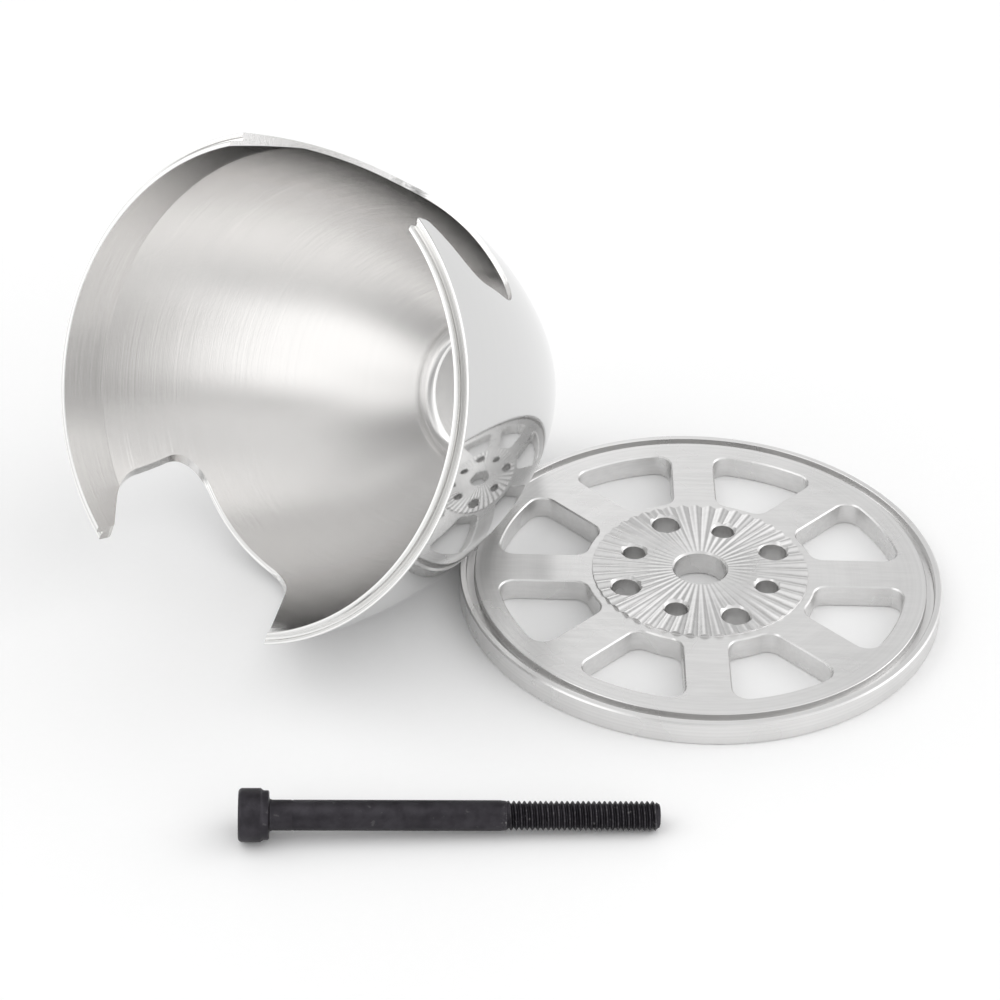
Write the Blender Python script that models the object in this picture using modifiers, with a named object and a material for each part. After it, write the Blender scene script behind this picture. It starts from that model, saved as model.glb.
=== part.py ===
"""Aluminium propeller spinner kit, laid out as three loose pieces: a two-blade spinner cone lying on its
side, a spoked backplate lying flat, and the black socket-head bolt that holds the cone on.

Metres, +Z up. The pieces stand on Z = 0, and the origin is at the bottom centre of the whole layout.
"""

import math

import bmesh
import bpy
from mathutils import Matrix, Vector

MM = 0.001
MERGE = 0.00001

# Backplate, in its own frame: axis +Z, rear face on Z = 0
PLATE_RADIUS = 35.0 * MM
LEDGE_HEIGHT = 3.55 * MM        # outer ledge that carries the cone's lip; the spokes' front face is level with it
LEDGE_INNER_RADIUS = 34.0 * MM
FACE_RADIUS = 32.75 * MM        # the groove for the cone's spigot lies between this and the ledge
GROOVE_DEPTH = 1.25 * MM
PLATE_CHAMFER = 0.25 * MM
HUB_RADIUS = 15.65 * MM
HUB_HEIGHT = 4.0 * MM
BORE_RADIUS = 3.8 * MM

SPOKES = 8
SPOKE_WIDTH = 6.5 * MM
WINDOW_INNER_RADIUS = 16.9 * MM
WINDOW_OUTER_RADIUS = 29.6 * MM
WINDOW_CORNER = 2.2 * MM

LARGE_HOLES = {"radius": 2.0 * MM, "circle": 11.83 * MM, "angle": math.radians(22.96)}
SMALL_HOLES = {"radius": 1.62 * MM, "circle": 10.22 * MM, "angle": math.radians(68.12)}
HOLES_PER_CIRCLE = 4

RIDGES = 48
RIDGE_DEPTH = 0.4 * MM          # depth of the radial V grooves at the hub's rim; they run out at the bore

# Spinner cone, in its own frame: rim plane on Z = 0, nose towards +Z
CONE_RADIUS = 34.8 * MM
CONE_LENGTH = 64.5 * MM
OGIVE_RADIUS = 107.9 * MM       # the side is one circular arc
OGIVE_SETBACK = 9.8 * MM        # how far behind the rim plane the arc's centre lies
WALL = 0.735 * MM
LAND_DEPTH = 7.4 * MM           # straight-bored band inside the rim
SPIGOT_HEIGHT = 1.1 * MM
SPIGOT_OUTER_RADIUS = 33.7 * MM
SPIGOT_INNER_RADIUS = 33.1 * MM
NOSE_FLOOR = 58.2 * MM          # inner end face
NOSE_FILLET = 2.0 * MM
NOSE_ROUND = 0.9 * MM           # round between the side and the flat of the nose
BOLT_SEAT = 60.2 * MM           # floor of the counterbore for the bolt's head
COUNTERBORE_RADIUS = 3.8 * MM
NOSE_HOLE_RADIUS = 2.2 * MM
CUTOUT_REACH = 40.0 * MM

# Blade cut-outs: corners as (across, along the axis, corner radius); the first and last lie below the rim
LOWER_CUTOUT = (
    (16.7 * MM, -6.0 * MM, 0.0),
    (16.7 * MM, 2.4 * MM, 1.5 * MM),
    (23.2 * MM, 8.3 * MM, 7.0 * MM),
    (22.9 * MM, 23.0 * MM, 5.3 * MM),
    (-1.2 * MM, 22.6 * MM, 7.5 * MM),
    (-19.2 * MM, -6.0 * MM, 0.0),
)
UPPER_CUTOUT = (
    (15.5 * MM, -6.0 * MM, 0.0),
    (15.5 * MM, 2.4 * MM, 1.5 * MM),
    (22.0 * MM, 8.3 * MM, 7.0 * MM),
    (21.8 * MM, 22.6 * MM, 5.3 * MM),
    (-1.6 * MM, 22.2 * MM, 7.5 * MM),
    (-19.7 * MM, -6.0 * MM, 0.0),
)

# Bolt, in its own frame: axis +Z, the head's underside on Z = 0, the head below it
HEAD_RADIUS = 3.5 * MM
HEAD_HEIGHT = 4.0 * MM
HEAD_EDGE = 0.5 * MM
SOCKET_ACROSS_FLATS = 3.0 * MM
SOCKET_DEPTH = 2.0 * MM
SHANK_RADIUS = 2.0 * MM
SHANK_LENGTH = 50.9 * MM
THREAD_LENGTH = 20.3 * MM
THREAD_RADIUS = 1.93 * MM
TIP_CHAMFER = 0.4 * MM

# Layout, measured from the backplate's centre
CONE_PLACE = (-62.86 * MM, -8.3 * MM)
CONE_HEADING = math.radians(52.67)     # compass direction of the nose, from +X
CONE_TILT = math.radians(27.35)        # how far the nose points below level
CONE_ROLL = math.radians(3.3)
BOLT_PLACE = (-62.3 * MM, -55.2 * MM)  # top of the bolt's head
BOLT_HEADING = math.radians(3.6)

PLATE_STEPS = 2 * RIDGES
CONE_STEPS = 80
BOLT_STEPS = 32


def clear_scene():
    """Remove the objects that a new file starts with."""
    for item in list(bpy.data.objects):
        bpy.data.objects.remove(item, do_unlink=True)


def new_collection(name):
    """Return a collection linked to the scene."""
    collection = bpy.data.collections.new(name)
    bpy.context.scene.collection.children.link(collection)
    return collection


def principled(name, colour, roughness, metallic):
    """Return a plain Principled material."""
    material = bpy.data.materials.new(name)
    material.use_nodes = True
    shader = material.node_tree.nodes["Principled BSDF"]
    shader.inputs["Base Color"].default_value = (*colour, 1.0)
    shader.inputs["Roughness"].default_value = roughness
    shader.inputs["Metallic"].default_value = metallic
    material.diffuse_color = (*colour, 1.0)
    return material


def turned(name, profile, steps, closed, collection):
    """Turn a profile of (radius, height) points about +Z with a Screw modifier."""
    mesh = bpy.data.meshes.new(name)
    count = len(profile)
    edges = [(i, i + 1) for i in range(count - 1)]
    if closed:
        edges.append((count - 1, 0))
    mesh.from_pydata([(radius, 0.0, height) for radius, height in profile], edges, [])
    item = bpy.data.objects.new(name, mesh)
    collection.objects.link(item)
    screw = item.modifiers.new("turn", "SCREW")
    screw.axis = "Z"
    screw.angle = math.tau
    screw.steps = steps
    screw.render_steps = steps
    screw.use_merge_vertices = True
    screw.merge_threshold = MERGE
    return item


def extruded(name, outlines, bottom, top, collection):
    """Return closed prisms over flat outlines, as one welded mesh."""
    curve = bpy.data.curves.new(name, "CURVE")
    curve.dimensions = "2D"
    curve.fill_mode = "BOTH"
    curve.extrude = (top - bottom) / 2
    for outline in outlines:
        spline = curve.splines.new("POLY")
        spline.points.add(len(outline) - 1)
        for point, (x, y) in zip(spline.points, outline):
            point.co = (x, y, 0.0, 1.0)
        spline.use_cyclic_u = True
    drawn = bpy.data.objects.new(name + "_curve", curve)
    collection.objects.link(drawn)
    bpy.context.view_layer.update()
    evaluated = drawn.evaluated_get(bpy.context.evaluated_depsgraph_get())
    mesh = bpy.data.meshes.new_from_object(evaluated)
    bpy.data.objects.remove(drawn, do_unlink=True)
    shape = bmesh.new()
    shape.from_mesh(mesh)
    bmesh.ops.remove_doubles(shape, verts=shape.verts, dist=MERGE)
    bmesh.ops.translate(shape, verts=shape.verts, vec=(0.0, 0.0, (top + bottom) / 2))
    shape.to_mesh(mesh)
    shape.free()
    item = bpy.data.objects.new(name, mesh)
    collection.objects.link(item)
    return item


def mark_cutter(item):
    """Keep a cutter out of the model."""
    item.hide_render = True
    item.display_type = "WIRE"


def cut(target, cutter):
    """Subtract the cutter from the target."""
    boolean = target.modifiers.new("cut_" + cutter.name, "BOOLEAN")
    boolean.operation = "DIFFERENCE"
    boolean.solver = "EXACT"
    boolean.object = cutter
    cutter.parent = target
    mark_cutter(cutter)


def rounded(corners, arc_points):
    """Return an outline through (x, y, radius) corners, with an arc at each corner that has a radius."""
    outline = []
    count = len(corners)
    for i, (x, y, radius) in enumerate(corners):
        corner = Vector((x, y))
        if radius == 0.0:
            outline.append(corner)
            continue
        before = (Vector(corners[i - 1][:2]) - corner).normalized()
        after = (Vector(corners[(i + 1) % count][:2]) - corner).normalized()
        half = before.angle(after) / 2
        centre = corner + (before + after).normalized() * (radius / math.sin(half))
        start = corner + before * (radius / math.tan(half)) - centre
        end = corner + after * (radius / math.tan(half)) - centre
        sweep = start.angle_signed(end)
        for k in range(arc_points):
            turn = Matrix.Rotation(-sweep * k / (arc_points - 1), 2)
            outline.append(centre + turn @ start)
    return [(point.x, point.y) for point in outline]


def ogive_radius_at(height, wall=0.0):
    """Radius of the cone's side at a height above the rim, moved in by a wall thickness."""
    centre_offset = math.sqrt(OGIVE_RADIUS ** 2 - OGIVE_SETBACK ** 2) - CONE_RADIUS
    return math.sqrt((OGIVE_RADIUS - wall) ** 2 - (height + OGIVE_SETBACK) ** 2) - centre_offset


def plate_profile():
    """Closed profile of the backplate blank, from the hub's top edge down the outside."""
    groove_floor = LEDGE_HEIGHT - GROOVE_DEPTH
    return [
        (HUB_RADIUS, HUB_HEIGHT),
        (HUB_RADIUS, LEDGE_HEIGHT),
        (FACE_RADIUS, LEDGE_HEIGHT),
        (FACE_RADIUS, groove_floor),
        (LEDGE_INNER_RADIUS, groove_floor),
        (LEDGE_INNER_RADIUS, LEDGE_HEIGHT),
        (PLATE_RADIUS - PLATE_CHAMFER, LEDGE_HEIGHT),
        (PLATE_RADIUS, LEDGE_HEIGHT - PLATE_CHAMFER),
        (PLATE_RADIUS, 0.0),
        (BORE_RADIUS, 0.0),
        (BORE_RADIUS, HUB_HEIGHT),
    ]


def fillet_points(centre, radius, start, end, count):
    """Points of an arc about a complex centre, between two of its tangent points."""
    first = start - centre
    sweep = math.atan2(((end - centre) / first).imag, ((end - centre) / first).real)
    arc = []
    for k in range(count):
        step = sweep * k / (count - 1)
        arc.append(centre + first / abs(first) * radius * complex(math.cos(step), math.sin(step)))
    return arc


def window_outlines():
    """Outlines of the windows between spokes: two spoke sides, two arcs and four round corners each."""
    offset = SPOKE_WIDTH / 2 + WINDOW_CORNER
    inner_reach = WINDOW_INNER_RADIUS + WINDOW_CORNER
    outer_reach = WINDOW_OUTER_RADIUS - WINDOW_CORNER
    inner_centre = complex(math.sqrt(inner_reach ** 2 - offset ** 2), offset)
    outer_centre = complex(math.sqrt(outer_reach ** 2 - offset ** 2), offset)
    inner_touch = inner_centre / inner_reach * WINDOW_INNER_RADIUS
    outer_touch = outer_centre / outer_reach * WINDOW_OUTER_RADIUS
    inner_side = complex(inner_centre.real, SPOKE_WIDTH / 2)
    outer_side = complex(outer_centre.real, SPOKE_WIDTH / 2)
    near = fillet_points(inner_centre, WINDOW_CORNER, inner_touch, inner_side, 5)
    near += fillet_points(outer_centre, WINDOW_CORNER, outer_side, outer_touch, 5)
    pitch = math.tau / SPOKES
    turn = complex(math.cos(pitch), math.sin(pitch))
    far = [turn * point.conjugate() for point in reversed(near)]
    outer_arc = fillet_points(0j, WINDOW_OUTER_RADIUS, outer_touch, far[0], 8)[1:-1]
    inner_arc = fillet_points(0j, WINDOW_INNER_RADIUS, far[-1], inner_touch, 4)[1:-1]
    first = near + outer_arc + far + inner_arc
    return [[((turn ** k * p).real, (turn ** k * p).imag) for p in first] for k in range(SPOKES)]


def ring_of_holes(shape, radius, circle, angle):
    """Add a ring of through-hole cylinders to a bmesh."""
    for k in range(HOLES_PER_CIRCLE):
        turn = angle + k * math.tau / HOLES_PER_CIRCLE
        place = Matrix.Translation((circle * math.cos(turn), circle * math.sin(turn), HUB_HEIGHT / 2))
        bmesh.ops.create_cone(
            shape, cap_ends=True, segments=20, radius1=radius, radius2=radius, depth=4 * HUB_HEIGHT, matrix=place
        )


def press_ridges(plate):
    """Turn the hub's flat top into radial ridges: every second point of its rim goes down."""
    depsgraph = bpy.context.evaluated_depsgraph_get()
    plate.data = bpy.data.meshes.new_from_object(plate.evaluated_get(depsgraph))
    plate.modifiers.clear()
    for vertex in plate.data.vertices:
        on_rim = abs(math.hypot(vertex.co.x, vertex.co.y) - HUB_RADIUS) < MERGE
        at_top = abs(vertex.co.z - HUB_HEIGHT) < MERGE
        step = round(math.atan2(vertex.co.y, vertex.co.x) / math.tau * PLATE_STEPS)
        if on_rim and at_top and step % 2:
            vertex.co.z -= RIDGE_DEPTH


def bmesh_object(name, build, collection):
    """Make an object from a function that fills a bmesh."""
    shape = bmesh.new()
    build(shape)
    mesh = bpy.data.meshes.new(name)
    shape.to_mesh(mesh)
    shape.free()
    item = bpy.data.objects.new(name, mesh)
    collection.objects.link(item)
    return item


def make_backplate(parts, cutters):
    """Spoked disc with a raised, ridged hub and a stepped rim."""
    plate = turned("backplate", plate_profile(), PLATE_STEPS, True, parts)
    press_ridges(plate)
    cut(plate, extruded("windows", window_outlines(), -HUB_HEIGHT, 2 * HUB_HEIGHT, cutters))
    cut(plate, bmesh_object("large_holes", lambda shape: ring_of_holes(shape, **LARGE_HOLES), cutters))
    cut(plate, bmesh_object("small_holes", lambda shape: ring_of_holes(shape, **SMALL_HOLES), cutters))
    return plate


def cone_profile():
    """Closed profile of the cone's shell, from the nose's flat down the outside and back up the inside."""
    rows = 14
    outer_top = CONE_LENGTH - NOSE_ROUND
    centre = ogive_radius_at(outer_top) - NOSE_ROUND
    profile = []
    for k in range(3):
        turn = math.radians(90 - 18 * k)
        profile.append((centre + NOSE_ROUND * math.cos(turn), outer_top + NOSE_ROUND * math.sin(turn)))
    for k in range(rows + 1):
        height = outer_top * (1 - k / rows)
        profile.append((ogive_radius_at(height), height))
    profile += [
        (SPIGOT_OUTER_RADIUS, 0.0),
        (SPIGOT_OUTER_RADIUS, -SPIGOT_HEIGHT),
        (SPIGOT_INNER_RADIUS, -SPIGOT_HEIGHT),
    ]
    inner_top = NOSE_FLOOR - NOSE_FILLET
    for k in range(rows):
        height = LAND_DEPTH + (inner_top - LAND_DEPTH) * k / (rows - 1)
        profile.append((ogive_radius_at(height, WALL), height))
    profile += [
        (ogive_radius_at(NOSE_FLOOR, WALL) - 0.6 * MM, NOSE_FLOOR - 0.6 * MM),
        (ogive_radius_at(NOSE_FLOOR, WALL) - NOSE_FILLET, NOSE_FLOOR),
        (NOSE_HOLE_RADIUS, NOSE_FLOOR),
        (NOSE_HOLE_RADIUS, BOLT_SEAT),
        (COUNTERBORE_RADIUS, BOLT_SEAT),
        (COUNTERBORE_RADIUS, CONE_LENGTH),
    ]
    return profile


def make_cone(parts, cutters):
    """Thin ogive shell with a spigot round its rim, a bolt hole in its nose and two blade cut-outs."""
    cone = turned("spinner_cone", cone_profile(), CONE_STEPS, True, parts)
    stand_up = Matrix(((0, 0, 1, 0), (1, 0, 0, 0), (0, 1, 0, 0), (0, 0, 0, 1)))
    for name, corners, side in (("lower_cutout", LOWER_CUTOUT, 0.0), ("upper_cutout", UPPER_CUTOUT, math.pi)):
        blade = extruded(name, [rounded(corners, 6)], 5 * MM, CUTOUT_REACH, cutters)
        blade.data.transform(Matrix.Rotation(side, 4, "Z") @ stand_up)
        cut(cone, blade)
    return cone


def bolt_profile():
    """Open profile of the bolt, from the tip down the outside to the top of the head."""
    thread_end = SHANK_LENGTH - THREAD_LENGTH
    return [
        (0.0, SHANK_LENGTH),
        (THREAD_RADIUS - TIP_CHAMFER, SHANK_LENGTH),
        (THREAD_RADIUS, SHANK_LENGTH - TIP_CHAMFER),
        (THREAD_RADIUS, thread_end),
        (SHANK_RADIUS, thread_end - 0.2 * MM),
        (SHANK_RADIUS, 0.0),
        (HEAD_RADIUS - HEAD_EDGE / 2, 0.0),
        (HEAD_RADIUS, -HEAD_EDGE / 2),
        (HEAD_RADIUS, HEAD_EDGE - HEAD_HEIGHT),
        (HEAD_RADIUS - HEAD_EDGE, -HEAD_HEIGHT),
        (0.0, -HEAD_HEIGHT),
    ]


def socket_prism(shape):
    """Add the hexagon socket's prism, open past the top of the head."""
    radius = SOCKET_ACROSS_FLATS / 2 / math.cos(math.pi / 6)
    depth = 2 * SOCKET_DEPTH
    place = Matrix.Translation((0.0, 0.0, -HEAD_HEIGHT))
    bmesh.ops.create_cone(
        shape, cap_ends=True, segments=6, radius1=radius, radius2=radius, depth=depth, matrix=place
    )


def make_bolt(parts, cutters):
    """Socket-head cap screw that draws the cone on to the backplate."""
    bolt = turned("retaining_bolt", bolt_profile(), BOLT_STEPS, False, parts)
    cut(bolt, bmesh_object("hex_socket", socket_prism, cutters))
    return bolt


def cone_pose():
    """Placement of the cone lying on its side, its belly just touching Z = 0."""
    centre_offset = math.sqrt(OGIVE_RADIUS ** 2 - OGIVE_SETBACK ** 2) - CONE_RADIUS
    sink = OGIVE_SETBACK * math.sin(CONE_TILT) + centre_offset * math.cos(CONE_TILT)
    place = Matrix.Translation((*CONE_PLACE, OGIVE_RADIUS - sink))
    heading = Matrix.Rotation(CONE_HEADING, 4, "Z")
    tilt = Matrix.Rotation(math.pi / 2 + CONE_TILT, 4, "Y")
    return place @ heading @ tilt @ Matrix.Rotation(CONE_ROLL, 4, "Z")


def bolt_pose():
    """Placement of the bolt lying on the rim of its head and the end of its thread."""
    reach = SHANK_LENGTH - TIP_CHAMFER + HEAD_EDGE / 2
    slope = math.atan((HEAD_RADIUS - THREAD_RADIUS) / reach)
    axis_height = HEAD_RADIUS * math.cos(slope) + (HEAD_HEIGHT - HEAD_EDGE / 2) * math.sin(slope)
    place = Matrix.Translation((*BOLT_PLACE, axis_height))
    heading = Matrix.Rotation(BOLT_HEADING, 4, "Z")
    tilt = Matrix.Rotation(math.pi / 2 + slope, 4, "Y")
    return place @ heading @ tilt @ Matrix.Translation((0.0, 0.0, HEAD_HEIGHT))


def layout_box(items):
    """Lowest and highest corners of the evaluated objects, in world space."""
    depsgraph = bpy.context.evaluated_depsgraph_get()
    points = []
    for item in items:
        evaluated = item.evaluated_get(depsgraph)
        points += [item.matrix_world @ vertex.co for vertex in evaluated.data.vertices]
    low = Vector([min(point[k] for point in points) for k in range(3)])
    high = Vector([max(point[k] for point in points) for k in range(3)])
    return low, high


def centre_layout(parts):
    """Hang the pieces from one empty and move it so that the layout's bottom centre is the origin."""
    kit = bpy.data.objects.new("kit_layout", None)
    parts.objects.link(kit)
    pieces = [item for item in parts.objects if item.type == "MESH"]
    bpy.context.view_layer.update()
    low, high = layout_box(pieces)
    for piece in pieces:
        piece.parent = kit
    kit.location = (-(low.x + high.x) / 2, -(low.y + high.y) / 2, -low.z)
    bpy.context.view_layer.update()


def main():
    clear_scene()
    parts = new_collection("propeller_spinner_kit")
    cutters = new_collection("cutters")
    cutters.hide_render = True
    machined = principled("machined_aluminium", (0.80, 0.80, 0.79), 0.28, 1.0)
    polished = principled("polished_aluminium", (0.88, 0.88, 0.88), 0.06, 1.0)
    blackened = principled("black_oxide_steel", (0.035, 0.035, 0.038), 0.38, 1.0)
    plate = make_backplate(parts, cutters)
    cone = make_cone(parts, cutters)
    bolt = make_bolt(parts, cutters)
    for item, material in ((plate, machined), (cone, polished), (bolt, blackened)):
        item.data.materials.append(material)
    cone.matrix_world = cone_pose()
    bolt.matrix_world = bolt_pose()
    centre_layout(parts)


main()
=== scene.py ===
"""Propeller spinner kit: a polished cone on its side, a spoked backplate lying flat and a black bolt."""

import math

import bmesh
import bpy
from bpy.props import FloatProperty, FloatVectorProperty, IntProperty, PointerProperty
from mathutils import Matrix, Vector


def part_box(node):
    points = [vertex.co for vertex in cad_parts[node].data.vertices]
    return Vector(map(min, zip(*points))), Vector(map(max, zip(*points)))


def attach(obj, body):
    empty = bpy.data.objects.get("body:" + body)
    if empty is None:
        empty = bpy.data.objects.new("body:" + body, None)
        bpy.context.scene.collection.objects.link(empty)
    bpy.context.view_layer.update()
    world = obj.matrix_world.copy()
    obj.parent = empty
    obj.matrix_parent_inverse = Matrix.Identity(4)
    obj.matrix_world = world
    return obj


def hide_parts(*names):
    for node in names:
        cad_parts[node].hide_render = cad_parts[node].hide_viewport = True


bl_info = {
    "name": "Propeller Spinner Kit",
    "version": (1, 0, 0),
    "blender": (4, 5, 0),
    "location": "View3D > Sidebar > Spinner Kit",
    "description": "Builds a spinner cone, its spoked backplate and its bolt around the packed frame",
    "category": "Object",
}

MM = 0.001
TURN = math.tau

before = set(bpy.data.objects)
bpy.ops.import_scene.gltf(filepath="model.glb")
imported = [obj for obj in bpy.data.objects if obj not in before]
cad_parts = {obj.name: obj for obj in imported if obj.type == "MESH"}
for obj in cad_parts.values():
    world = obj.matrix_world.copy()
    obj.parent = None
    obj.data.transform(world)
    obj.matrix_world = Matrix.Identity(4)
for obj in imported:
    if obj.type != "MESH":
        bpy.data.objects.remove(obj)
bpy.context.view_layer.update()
PLATE_LOW, PLATE_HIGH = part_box("backplate")
PLATE_CENTRE = Vector(((PLATE_LOW.x + PLATE_HIGH.x) / 2, (PLATE_LOW.y + PLATE_HIGH.y) / 2, 0.0))


# ---------------------------------------------------------------------------------------------------------
# Sizes and colours
# ---------------------------------------------------------------------------------------------------------


def length(name, description, millimetres):
    """A distance property with its default given in millimetres."""
    return FloatProperty(
        name=name,
        description=description,
        default=millimetres * MM,
        min=-1.0,
        max=1.0,
        precision=5,
        subtype="DISTANCE",
        unit="LENGTH",
    )


def angle(name, description, degrees):
    """An angle property with its default given in degrees."""
    return FloatProperty(name=name, description=description, default=math.radians(degrees), subtype="ANGLE")


def colour(name, description, value):
    """A linear colour property."""
    return FloatVectorProperty(
        name=name, description=description, default=value, min=0.0, max=1.0, size=3, subtype="COLOR"
    )


class BackplateSizes(bpy.types.PropertyGroup):
    """Sizes of the spoked disc, about its own axis with the rear face at zero height."""

    radius: length("Radius", "Outside radius of the disc", 35.0)
    ledge_height: length("Ledge height", "Height of the outer ledge and of the spokes' face", 3.55)
    ledge_inner: length("Ledge inner radius", "Radius of the groove's outer wall", 34.0)
    face_radius: length("Face radius", "Radius of the groove's inner wall", 32.75)
    groove_depth: length("Groove depth", "Depth of the groove that takes the cone's spigot", 1.25)
    edge: length("Edge break", "Chamfer on the turned edges", 0.22)
    hub_radius: length("Hub radius", "Radius of the ridged hub", 15.65)
    hub_height: length("Hub height", "Height of the hub's ridge crests", 4.0)
    ridges: IntProperty(name="Ridges", description="Radial ridges round the hub", default=48, min=3)
    ridge_depth: length("Ridge depth", "Depth of the ridges at the hub's rim", 0.4)
    bore: length("Bore radius", "Radius of the centre bore", 3.8)
    bore_edge: length("Bore edge", "Chamfer on the centre bore", 0.28)
    spokes: IntProperty(name="Spokes", description="Spokes between hub and rim", default=8, min=3)
    spoke_width: length("Spoke width", "Width of a spoke", 6.5)
    window_inner: length("Window inner radius", "Radius of a window's inner side", 16.9)
    window_outer: length("Window outer radius", "Radius of a window's outer side", 29.6)
    window_corner: length("Window corner", "Corner radius of a window", 2.2)
    window_edge: length("Window edge", "Chamfer round a window", 0.2)
    large_hole: length("Large hole radius", "Radius of the larger hub holes", 2.0)
    large_circle: length("Large hole circle", "Radius of the circle of larger holes", 11.83)
    large_angle: angle("Large hole angle", "Direction of the first larger hole", 22.96)
    small_hole: length("Small hole radius", "Radius of the smaller hub holes", 1.62)
    small_circle: length("Small hole circle", "Radius of the circle of smaller holes", 10.22)
    small_angle: angle("Small hole angle", "Direction of the first smaller hole", 68.12)
    hole_edge: length("Hole edge", "Chamfer on the hub holes", 0.24)


class ConeSizes(bpy.types.PropertyGroup):
    """Sizes of the spinner cone, about its own axis with the rim plane at zero height and the nose up."""

    radius: length("Radius", "Outside radius at the rim", 34.8)
    cone_length: length("Length", "Rim plane to the flat of the nose", 64.5)
    ogive: length("Ogive radius", "Radius of the arc that the side follows", 107.9)
    setback: length("Ogive setback", "Distance of the arc's centre behind the rim plane", 9.8)
    wall: length("Wall", "Thickness of the shell", 0.735)
    land: length("Land depth", "Depth of the straight-bored band inside the rim", 7.4)
    land_radius: length("Land radius", "Radius of the straight-bored band", 33.1)
    spigot_height: length("Spigot height", "How far the spigot stands out of the rim plane", 1.1)
    spigot_radius: length("Spigot radius", "Outside radius of the spigot", 33.75)
    relief: length("Relief depth", "Depth of the relief groove beside the spigot", 0.25)
    relief_radius: length("Relief radius", "Outside radius of the relief groove", 34.2)
    nose_floor: length("Nose floor", "Height of the inner end face", 58.2)
    nose_fillet: length("Nose fillet", "Fillet round the inner end face", 2.4)
    seat: length("Bolt seat", "Height of the counterbore's floor", 60.2)
    counterbore: length("Counterbore radius", "Radius of the counterbore for the bolt's head", 3.8)
    nose_hole: length("Nose hole radius", "Radius of the bolt's hole", 2.2)
    place: FloatVectorProperty(
        name="Place",
        description="Centre of the rim plane on the floor plan, from the backplate's axis",
        default=(-62.86 * MM, -8.3 * MM),
        size=2,
        subtype="TRANSLATION",
    )
    heading: angle("Heading", "Compass direction of the nose", 52.67)
    tilt: angle("Tilt", "How far the nose points below level", 27.35)
    roll: angle("Roll", "Turn of the cut-outs about the cone's axis", 3.3)


class BoltSizes(bpy.types.PropertyGroup):
    """Sizes of the socket-head bolt, along its own axis with the head's underside at zero."""

    head_radius: length("Head radius", "Radius of the head", 3.5)
    head_height: length("Head height", "Height of the head", 4.0)
    head_edge: length("Head edge", "Rounding of the head's rim", 0.55)
    socket: length("Socket", "Width of the hexagon socket across its flats", 3.0)
    socket_depth: length("Socket depth", "Depth of the hexagon socket", 2.0)
    shank_radius: length("Shank radius", "Radius of the plain shank", 2.0)
    shank_length: length("Length", "Head's underside to the tip", 50.9)
    thread_length: length("Thread length", "Length of the thread", 20.3)
    thread_radius: length("Thread radius", "Radius over the thread's crests", 1.93)
    thread_depth: length("Thread depth", "Depth of the thread", 0.38)
    pitch: length("Pitch", "Pitch of the thread", 0.7)
    tip_edge: length("Tip edge", "Chamfer at the tip", 0.4)
    place: FloatVectorProperty(
        name="Place",
        description="Centre of the head's end on the floor plan, from the backplate's axis",
        default=(-62.3 * MM, -55.2 * MM),
        size=2,
        subtype="TRANSLATION",
    )
    heading: angle("Heading", "Compass direction of the tip", 3.6)


class Finishes(bpy.types.PropertyGroup):
    """Colours of the metals and of the stage."""

    machined: colour("Machined aluminium", "Turned and milled metal of the backplate", (0.80, 0.795, 0.79))
    polished: colour("Polished aluminium", "Mirror-polished aluminium outside the cone", (0.67, 0.67, 0.668))
    edge: colour("Cut edges", "Freshly cut rim and cut-out edges of the cone", (0.93, 0.925, 0.915))
    satin: colour("Turned aluminium", "Fine-turned aluminium inside the cone", (0.845, 0.838, 0.831))
    black: colour("Black oxide", "Black oxide on the steel bolt", (0.047, 0.044, 0.05))
    floor: colour("Floor", "Pale studio floor", (0.98, 0.98, 0.98))


# ---------------------------------------------------------------------------------------------------------
# Node trees written as expressions
# ---------------------------------------------------------------------------------------------------------


class Wire:
    """One output in a node tree. Arithmetic adds Math nodes, and node() adds any other node."""

    def __init__(self, tree, socket=None):
        self.tree = tree
        self.socket = socket

    def node(self, kind, settings=None, sockets=None, out=0):
        """Add a node, with its settings first and then the values or wires of its sockets."""
        added = self.tree.nodes.new(kind)
        for key, value in (settings or {}).items():
            setattr(added, key, value)
        for key, value in (sockets or {}).items():
            if isinstance(value, Wire):
                self.tree.links.new(value.socket, added.inputs[key])
            else:
                added.inputs[key].default_value = value
        return Wire(self.tree, added.outputs[out] if len(added.outputs) else None)

    def other(self, out):
        """Another output of the same node."""
        return Wire(self.tree, self.socket.node.outputs[out])

    def maths(self, operation, first, second=0.0):
        return self.node("ShaderNodeMath", {"operation": operation}, {0: first, 1: second})

    def __add__(self, other):
        return self.maths("ADD", self, other)

    def __radd__(self, other):
        return self.maths("ADD", other, self)

    def __sub__(self, other):
        return self.maths("SUBTRACT", self, other)

    def __rsub__(self, other):
        return self.maths("SUBTRACT", other, self)

    def __mul__(self, other):
        return self.maths("MULTIPLY", self, other)

    def __rmul__(self, other):
        return self.maths("MULTIPLY", other, self)

    def __truediv__(self, other):
        return self.maths("DIVIDE", self, other)

    def __rtruediv__(self, other):
        return self.maths("DIVIDE", other, self)

    def __pow__(self, other):
        return self.maths("POWER", self, other)

    def __rpow__(self, other):
        return self.maths("POWER", other, self)

    def ramp(self, low, high):
        """0 at low, 1 at high, smooth between."""
        settings = {"interpolation_type": "SMOOTHSTEP"}
        return self.node("ShaderNodeMapRange", settings, {"Value": self, "From Min": low, "From Max": high})


def mix_colours(factor, first, second):
    """Mix two colours, each a wire or a tuple, by a wire."""

    def four(value):
        return value if isinstance(value, Wire) else (*value, 1.0)

    return factor.node(
        "ShaderNodeMix", {"data_type": "RGBA"}, {0: factor, 6: four(first), 7: four(second)}, out=2
    )


def noise(vector, scale, detail=2.0, roughness=0.5):
    """Noise over a vector, centred on one half."""
    sockets = {"Vector": vector, "Scale": scale, "Detail": detail, "Roughness": roughness}
    return vector.node("ShaderNodeTexNoise", None, sockets)


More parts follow.
